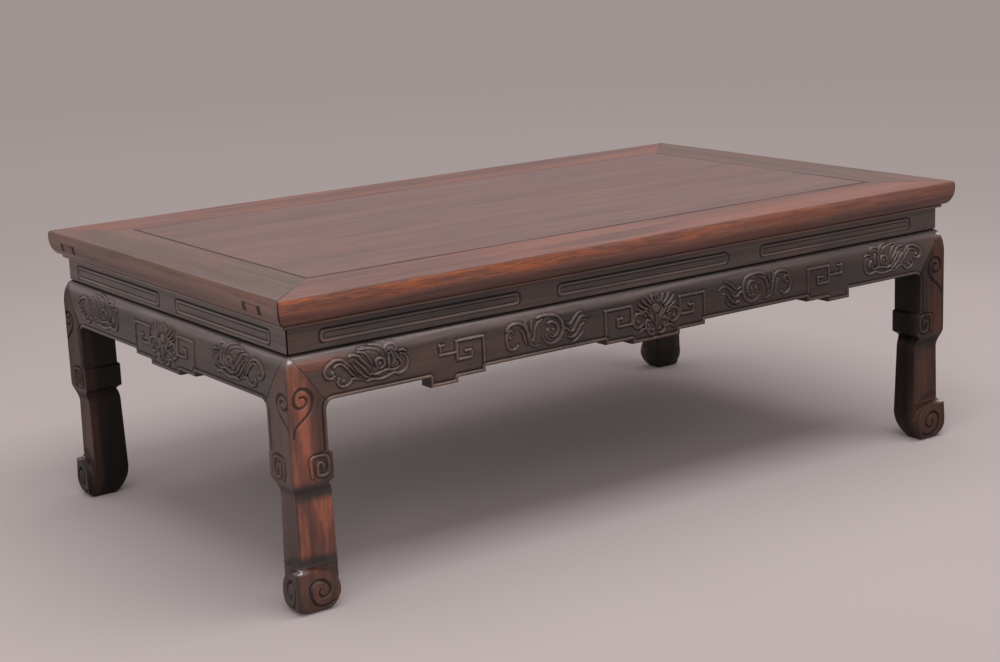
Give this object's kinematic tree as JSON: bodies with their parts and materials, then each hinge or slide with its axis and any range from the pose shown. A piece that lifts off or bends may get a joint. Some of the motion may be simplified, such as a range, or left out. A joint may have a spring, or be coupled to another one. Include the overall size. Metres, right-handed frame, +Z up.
{
  "type": "kang table",
  "caption": "Low waisted hardwood table: mitred frame with floating panel, recessed waist with cartouches, stepped carved aprons and legs that end in outward scroll feet.",
  "frame": {"origin": "on the floor under the middle of the table", "axes": "+X along the length, +Y from the front long side to the back, +Z up"},
  "size_m": [0.89, 0.521, 0.305],
  "materials": {
    "frame_wood": "waxed hardwood, worn to a satin sheen",
    "panel_wood": "waxed hardwood, worn to a satin sheen",
    "waist_wood": "waxed hardwood, worn to a satin sheen",
    "apron_wood": "waxed hardwood, worn to a satin sheen",
    "leg_wood": "waxed hardwood, worn to a satin sheen",
    "inner_wood": "plain planed hardwood, unpolished"
  },
  "bodies": {
    "root": {"apron_back": "apron_wood", "apron_front": "apron_wood", "apron_left": "apron_wood", "apron_right": "apron_wood", "brace_1": "inner_wood", "brace_2": "inner_wood", "brace_3": "inner_wood", "leg_back_left": "leg_wood", "leg_back_right": "leg_wood", "leg_front_left": "leg_wood", "leg_front_right": "leg_wood", "rail_back": "frame_wood", "rail_front": "frame_wood", "rail_left": "frame_wood", "rail_right": "frame_wood", "tenon_wedges": "frame_wood", "top_panel": "panel_wood", "waist_back": "waist_wood", "waist_front": "waist_wood", "waist_left": "waist_wood", "waist_right": "waist_wood"}
  },
  "joints": []
}
